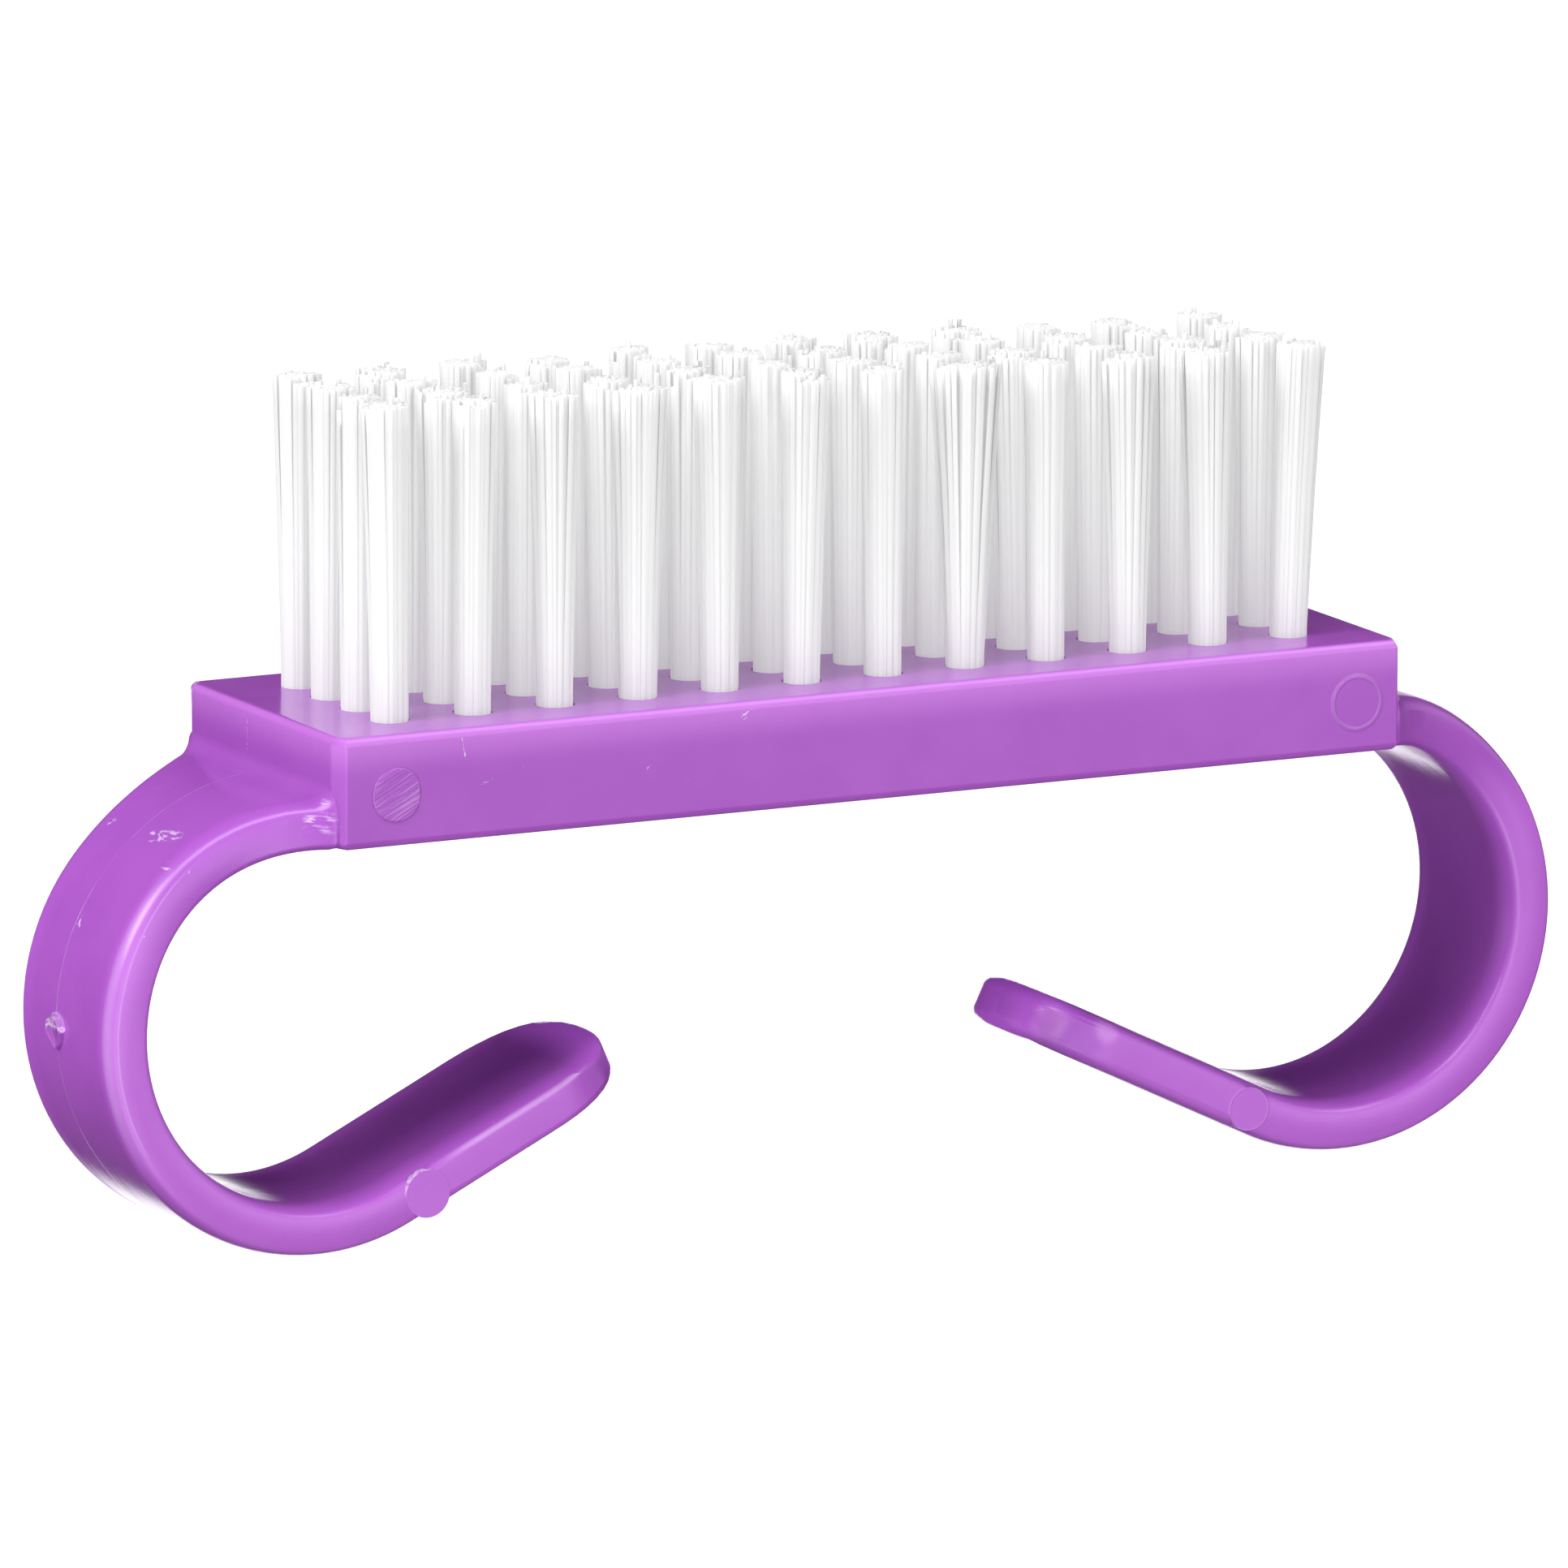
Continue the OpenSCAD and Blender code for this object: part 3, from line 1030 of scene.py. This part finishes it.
gate_torn = (gate_cap * (0.25 + ragged.fade(0.50, 0.60) * 0.25)).most(gate_edge * 0.8)
print("Line, file marks, rims and gate are drawn")

# %% [markdown]
# Painted highlights lie in soft paler lines along the left hook: on the step beside its low curve, on
# its shoulder and on the tongue's inner edge. They need the distance along the tongue and the depth
# in it. Near the right tongue's tip the skin is lighter and darker in cloudy patches.

# %% Paint the highlight lines and the clouds
# Painted highlights: a paler fine line on the step, a soft line along the tongue's inner edge and a band on
# the shoulder of the left hook.
left_front = side_x.under(0.0) * side_y.under(-3.5 * MM)
step_highlight = 1 - abs(ring_reach - (ring_outer_r - front_outer_height)).fade(0.01 * MM, 0.06 * MM)
step_highlight = step_highlight * left_front * side_z.fade(4.0 * MM, 6.0 * MM) * (1 - side_z.fade(15.0 * MM, 17.0 * MM))
tongue_in = ring_side_x * tongue_normal.x + ring_side_z * tongue_normal.z + middle_r
tongue_along = ring_side_x * tongue_direction.x + ring_side_z * tongue_direction.z
tongue_edge_highlight = 1 - abs(tongue_in - 0.68 * MM).fade(0.02 * MM, 0.13 * MM)
tongue_edge_highlight = tongue_edge_highlight * left_front * tongue_along.fade(1.6 * MM, 4.0 * MM)
tongue_edge_highlight = tongue_edge_highlight * (1 - tongue_along.fade(9.3 * MM, 10.3 * MM)) * (1 - side_z.fade(8.0 * MM, 9.0 * MM))

shoulder_highlight = 1 - abs(side_y + 3.50 * MM).fade(0.05 * MM, 0.38 * MM)
shoulder_highlight = shoulder_highlight * side_x.under(0.0) * ring_reach.fade(8.9 * MM, 9.1 * MM)
shoulder_highlight = shoulder_highlight * side_z.fade(3.0 * MM, 7.0 * MM) * (1 - side_z.fade(14.0 * MM, 17.0 * MM))
shoulder_highlight = shoulder_highlight * (1 - tongue_along.fade(0.0, 2.0 * MM))

# The skin near the right tongue's tip is lighter and darker in cloudy patches.
clouds_low = purple.noise(700, 1.0)
cloud_a = purple.spot(in_metres((9.95, -2.7, 6.35)), 1.1 * MM, 0.6, shaken)
cloud_b = purple.spot(in_metres((12.1, -3.85, 6.0)), 0.8 * MM, 0.7, shaken)
cloud_dark = purple.spot(in_metres((11.1, -3.6, 5.75)), 1.1 * MM, 0.5, shaken)
clouds = (cloud_a * 0.7).most(cloud_b * 0.8) * clouds_low.fade(0.30, 0.60)
print("Soft lines and clouds are drawn")

# %% [markdown]
# All masks meet here. Scars are paler than the skin and rougher, because a torn plastic surface
# scatters light, and a bump node raises or cuts them by a few hundredths of a millimetre.

# %% Colour the moulding by its masks
# The paler masks mix real marks and painted highlights: scars, scuffs, dust specks, the parting line, the
# file lines and the gate's torn cap are real; the rims, the pad's curved line and the three lines on the left
# hook are painted highlights.
pale_mark_and_highlight_shares = (
    (scars, 0.75), (scuffed, 0.55), (specks, 0.80), (parting, 0.18), (filed, 0.20), (rim_highlights, 0.06),
    (arc_highlight, 0.60), (gate_torn, 0.70), (step_highlight, 0.12), (tongue_edge_highlight, 0.28), (shoulder_highlight, 0.14),
)
pale_marks_and_highlights = strongest([mask * share for mask, share in pale_mark_and_highlight_shares])
# Painted light: the block's front is painted lighter and pinker below its top rim, and the thin edges of the
# hooks are painted lighter, for light that shines through thin plastic.
painted_edge_light = side_z.fade(block_top - 1.7 * MM, block_top - 0.12 * MM) * 0.50
painted_edge_light = painted_edge_light * (1 - side_z.fade(block_top - 0.06 * MM, block_top - 0.01 * MM))
thin_edge_light = abs(side_y).fade(half_band - 0.32 * MM, half_band - 0.02 * MM) * on_hook
painted_edge_light = painted_edge_light.most(thin_edge_light * (1 - side_z.fade(12.0 * MM, 16.0 * MM)) * 0.22)
skin = purple.mix(soft_spots.fade(0.30, 0.72), (0.345, 0.086, 0.474), (0.367, 0.095, 0.497))
# The layers are the painted edge light, the cloudy patches, the painted shade in the file cuts, and the paler
# marks with the painted highlights.
layers = (
    (painted_edge_light, (0.60, 0.22, 0.72)),
    (clouds * 0.50, (0.62, 0.30, 0.72)),
    (cloud_dark * 0.55 * (1 - clouds), (0.29, 0.05, 0.44)),
    (file_cut_shade * 0.25, (0.22, 0.05, 0.34)),
    (pale_marks_and_highlights, (0.86, 0.72, 0.90)),
)
for share, colour in layers:
    skin = purple.mix(share, skin, colour)
purple.feed("Base Color", skin)
print("Skin has", len(layers), "layers over its own colour")

# %% [markdown]
# The gloss stays below a roughness of 0.27, apart from the torn places, because the denoiser draws
# a border where the surface passes that value. Thin plastic lets light through, which a small glow
# stands in for. All that varies over the surface is an input that the export can bake.

# %% Set the gloss, the relief and the glow of the moulding
roughness = 0.13 + soft_spots * 0.08 + (polish - 0.5) * on_hook * 0.10
roughness = roughness + painted_edge_light * side_z.over(15.0 * MM) * 0.2
root_corner = purple.spot((-24.2 * MM, -6.2 * MM, 18.2 * MM), 2.8 * MM, 0.6)
roughness = roughness + root_corner * 0.10 + abs(side_y).fade(2.6 * MM, 3.3 * MM) * on_hook * 0.10
roughness = roughness.least(0.262)
roughness = roughness + strongest([scuffed, scars, gate_torn]) * 0.25 + in_mark * 0.18
purple.feed("Roughness", roughness.least(0.9).most(0.08))
relief = soft_spots * 0.6 + fine_grain * 0.10 + polish * on_hook * 0.18
relief = relief + scars * 0.35 + scuffed * 0.45 + parting * 0.35 + specks * 0.5
relief = relief + in_mark * file_marks * 1.1 + rim_highlights * 0.45 + arc_highlight * 0.6 + gate_torn * 0.5
purple.bump(relief, 0.04 * MM)
edge_leak = abs(side_y).fade(half_band - 1.3 * MM, half_band - 0.2 * MM) * on_hook * 0.22
edge_leak = edge_leak * (1 - side_z.fade(13 * MM, 16 * MM))
end_leak = tongue_along.fade(tongue_length - 1.3 * MM, tongue_length - 0.2 * MM)
inner_leak = tongue_along.fade(tongue_length - 2.8 * MM, tongue_length - 0.6 * MM) * 0.9
inner_leak = inner_leak * tongue_in.fade(0.2 * MM, 0.7 * MM)
low_down = 1 - side_z.fade(9 * MM, 10 * MM)
leak = strongest([edge_leak, end_leak * low_down, inner_leak * low_down])
purple.feed("Emission Color", purple.mix(leak, (0, 0, 0), (0.15, 0.035, 0.22)))
purple.paint(handle)
print("Moulding finished in", purple.material.name)

# %% [markdown]
# Light that enters a nylon filament runs along it and leaks out between its neighbours, so a bundle
# has hardly any shadow inside. Scattering below the surface gives the soft look, and a small glow
# stands in for the light that runs along. Tips are painted a little greyer than roots, as painted
# shade against the light from above, and all of it has faint streaks.

# %% Finish the bristles
nylon = Finish("white_nylon", (0.52, 0.52, 0.52), 0.5)
nylon.set({"IOR": 1.5, "Specular IOR Level": 0.2, "Subsurface Weight": 0.4})
nylon.set({"Subsurface Radius": (1.0, 1.0, 1.0), "Subsurface Scale": 0.2 * MM})
nylon.set({"Emission Color": (1, 1, 1, 1), "Emission Strength": 0.30})
streaks = nylon.noise(1200, 2.0, (1, 1, 0.05))
# Painted shade: the nylon's colour darkens towards the tips.
tip_shade_rise = nylon.sides()[2].fade(block_top + 5.0 * MM, block_top + 13.0 * MM)
nylon_body_tip_shaded = nylon.mix(tip_shade_rise, (0.52, 0.52, 0.52), (0.48, 0.48, 0.48))
nylon_dim_tip_shaded = nylon.mix(tip_shade_rise, (0.50, 0.50, 0.50), (0.46, 0.46, 0.46))
nylon.feed("Base Color", nylon.mix(streaks.fade(0.40, 0.66), nylon_body_tip_shaded, nylon_dim_tip_shaded))
for piece in tuft_pieces:
    nylon.paint(piece)
print("Bristles finished in", nylon.material.name)

# %% [markdown]
# The wires that hold the tufts keep the shape of the CAD node. They are drawn flat, so they shine
# along their length.

# %% Finish the wires
wire = Finish("drawn_wire", (0.62, 0.61, 0.58), 0.35)
wire.set({"Metallic": 1.0})
drawing_lines = wire.noise(1500, 2.0, (0.05, 1, 1))
wire.feed("Roughness", 0.25 + drawing_lines * 0.25)
wire.bump(drawing_lines, 0.02 * MM)
wire.paint(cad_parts["anchors"])
print("Wires finished in", wire.material.name)

# %% [markdown]
# The brush stands on a white light table: the floor glows, so it stays white under the brush, but it
# throws no light on the plastic. It is one large plane, so that no view shows its edge.

# %% Set the floor
clear_selection()
bpy.ops.mesh.primitive_plane_add(size=8, location=(0, 0, 0))
floor = bpy.context.active_object
floor.name = "floor"
open_piece(floor)
select_all()
bpy.ops.mesh.subdivide(number_cuts=3)
clear_selection()
paper = Finish("white_table", (0.25, 0.25, 0.25), 0.9)
paper.set({"Specular IOR Level": 0.0, "Emission Color": (1, 1, 1, 1), "Emission Strength": 0.98})
paper.paint(floor)
floor.visible_glossy = False
floor.visible_diffuse = False
floor.visible_shadow = False
print("Floor laid")

# %% [markdown]
# Three round soft boxes light the brush from the left, from high on the left and from high on the
# right. Softer light comes from all over the front, as from white walls, and some from below, as
# from the table. Behind the brush it is dark, apart from one bright patch low down, which shows as
# a white glint wherever the plastic is seen at a grazing angle.

# %% Set the light
aim_height = 17 * MM
box_width = 0.55


def heading(azimuth, elevation):
    """A direction: azimuth 0 is the front, 90 the right, and elevation goes up."""
    turn = math.radians(azimuth)
    rise = math.radians(elevation)
    return Vector((math.sin(turn) * math.cos(rise), -math.cos(turn) * math.cos(rise), math.sin(rise)))


for name, azimuth, elevation, power in (
    ("left_box", -90, 35, 7.3), ("top_box", -60, 60, 4.8), ("right_box", 60, 60, 2.6)
):
    light = bpy.data.lights.new(name, "AREA")
    light.shape = "DISK"
    light.size = box_width
    light.energy = power
    lamp = add_object(name, light)
    way = heading(azimuth, elevation)
    lamp.location = way + Vector((0, 0, aim_height))
    lamp.rotation_euler = (-way).to_track_quat("-Z", "Y").to_euler()

room_light = [
    (-30, 5, 2.10, 25),
    (0, 5, 2.40, 25),
    (30, 5, 2.20, 25),
    (-30, 35, 1.10, 25),
    (30, 35, 1.10, 25),
    (-60, 35, 0.30, 25),
    (90, 30, 1.60, 12),
    (-105, -5, 0.80, 12),
    (-30, -30, 3.20, 12),
    (0, -90, 0.28, 3),
]
world = bpy.data.worlds.new("studio")
bpy.context.scene.world = world
world.use_nodes = True
room = world.node_tree
sky = room.nodes["Background"]
view_way = room.nodes.new("ShaderNodeTexCoord").outputs["Generated"]


def facing(azimuth, elevation):
    """How squarely each part of the room lies in a direction."""
    node = room.nodes.new("ShaderNodeVectorMath")
    node.operation = "DOT_PRODUCT"
    room.links.new(view_way, node.inputs[0])
    node.inputs[1].default_value = heading(azimuth, elevation)
    return Value(node.outputs["Value"]).most(0.0)


bright_patch = facing(155.0, -13.5).fade(0.950, 0.973) * 2.0
room_total = bright_patch
for azimuth, elevation, strength, sharpness in room_light:
    room_total = room_total + facing(azimuth, elevation) ** sharpness * strength
room.links.new(room_total.socket, sky.inputs["Strength"])
sky.inputs["Color"].default_value = (1, 1, 1, 1)
print("Light set: three soft boxes and", len(room_light), "soft parts of the room")

# %% [markdown]
# The camera was fitted to the photograph in units of the distance between two tufts. It is far away
# with a long lens, a little above the brush and to its left.

# %% Set the camera
camera_data = bpy.data.cameras.new("camera")
camera_data.sensor_width = 36
camera_data.lens = 708.7
camera = add_object("camera", camera_data)
camera_place = Vector((-151.437, -294.054, 63.547)) * pitch_x + Vector((0, 0, block_top))
yaw = math.radians(-27.2257)
pitch = math.radians(11.1059)
roll = math.radians(0.1468)
turned = Matrix.Rotation(yaw, 4, "Z") @ Matrix.Rotation(math.pi / 2 - pitch, 4, "X")
turned = turned @ Matrix.Rotation(roll, 4, "Z")
camera.matrix_world = Matrix.Translation(camera_place) @ turned
bpy.context.scene.camera = camera
bpy.context.scene.view_settings.view_transform = "Standard"
print("Camera at", [round(side, 3) for side in camera_place])
